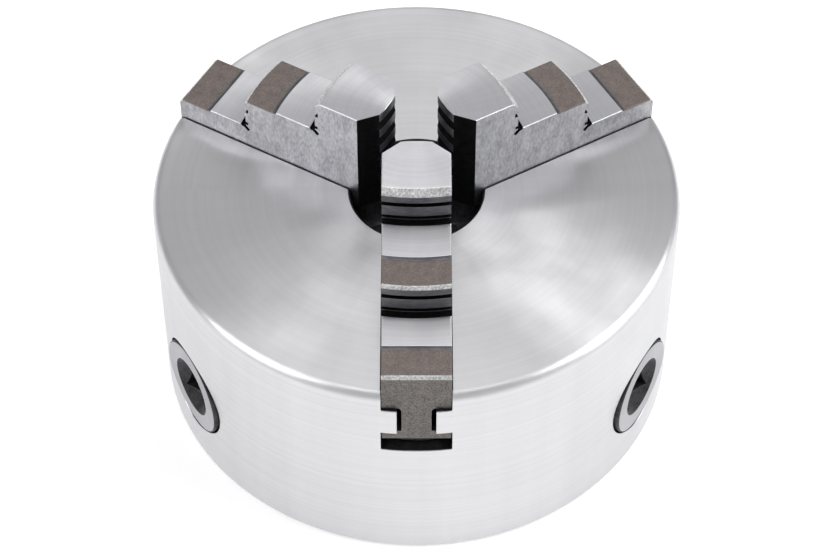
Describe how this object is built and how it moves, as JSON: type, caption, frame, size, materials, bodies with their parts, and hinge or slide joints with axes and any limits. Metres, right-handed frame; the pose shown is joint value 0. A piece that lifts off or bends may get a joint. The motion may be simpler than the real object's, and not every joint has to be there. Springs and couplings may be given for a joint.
{
  "type": "lathe chuck",
  "caption": "Self-centring lathe chuck: a round bright-steel body whose stepped jaws slide in radial T-slots, driven by a scroll and square-socket pinions.",
  "frame": {"origin": "centre of the mounting face, on the spindle axis", "axes": "+Z along the spindle axis, out of the front face through the jaws; jaw 1 lies along -Y"},
  "size_m": [0.125, 0.125, 0.083],
  "materials": {
    "turned_steel": "fine-turned bright steel",
    "jaw_steel": "hardened and surface-ground steel",
    "pinion_steel": "turned bright steel",
    "scroll_steel": "machined and hardened steel",
    "cover_steel": "turned steel",
    "screw_steel": "black oxide"
  },
  "bodies": {
    "chuck": {"chuck_body": "turned_steel", "back_cover": "cover_steel", "cover_screw_1": "screw_steel", "cover_screw_2": "screw_steel", "cover_screw_3": "screw_steel", "cover_screw_4": "screw_steel", "cover_screw_5": "screw_steel", "cover_screw_6": "screw_steel", "pinion_screw_1": "screw_steel", "pinion_screw_2": "screw_steel", "pinion_screw_3": "screw_steel"},
    "scroll": {"scroll_plate": "scroll_steel"},
    "pinion_1": {"pinion_1": "pinion_steel"},
    "pinion_2": {"pinion_2": "pinion_steel"},
    "pinion_3": {"pinion_3": "pinion_steel"},
    "jaw_1": {"jaw_1": "jaw_steel"},
    "jaw_2": {"jaw_2": "jaw_steel"},
    "jaw_3": {"jaw_3": "jaw_steel"}
  },
  "joints": [
    {"name": "scroll_spin", "type": "hinge", "parent": "chuck", "child": "scroll", "pos_m": [0, 0, 0.034], "axis": [0, 0, 1], "range_deg": [-567, 234]},
    {"name": "pinion_1_spin", "type": "hinge", "parent": "chuck", "child": "pinion_1", "pos_m": [0.0433, -0.025, 0.02182], "axis": [0.866, -0.5, 0], "range_deg": [-940, 2272]},
    {"name": "pinion_2_spin", "type": "hinge", "parent": "chuck", "child": "pinion_2", "pos_m": [0, 0.05, 0.02182], "axis": [0, 1, 0], "range_deg": [-940, 2272]},
    {"name": "pinion_3_spin", "type": "hinge", "parent": "chuck", "child": "pinion_3", "pos_m": [-0.0433, -0.025, 0.02182], "axis": [-0.866, -0.5, 0], "range_deg": [-940, 2272]},
    {"name": "jaw_1_slide", "type": "slide", "parent": "chuck", "child": "jaw_1", "axis": [0, -1, 0], "range_m": [-0.0053, 0.0127]},
    {"name": "jaw_2_slide", "type": "slide", "parent": "chuck", "child": "jaw_2", "axis": [0.866, 0.5, 0], "range_m": [-0.0053, 0.0127]},
    {"name": "jaw_3_slide", "type": "slide", "parent": "chuck", "child": "jaw_3", "axis": [-0.866, 0.5, 0], "range_m": [-0.0053, 0.0127]}
  ],
  "couplings": [
    {"joint": "pinion_1_spin", "follows": "scroll_spin", "ratio": -4},
    {"joint": "pinion_2_spin", "follows": "scroll_spin", "ratio": -4},
    {"joint": "pinion_3_spin", "follows": "scroll_spin", "ratio": -4},
    {"joint": "jaw_1_slide", "follows": "scroll_spin", "m_per_rad": -0.0012732},
    {"joint": "jaw_2_slide", "follows": "scroll_spin", "m_per_rad": -0.0012732},
    {"joint": "jaw_3_slide", "follows": "scroll_spin", "m_per_rad": -0.0012732}
  ]
}
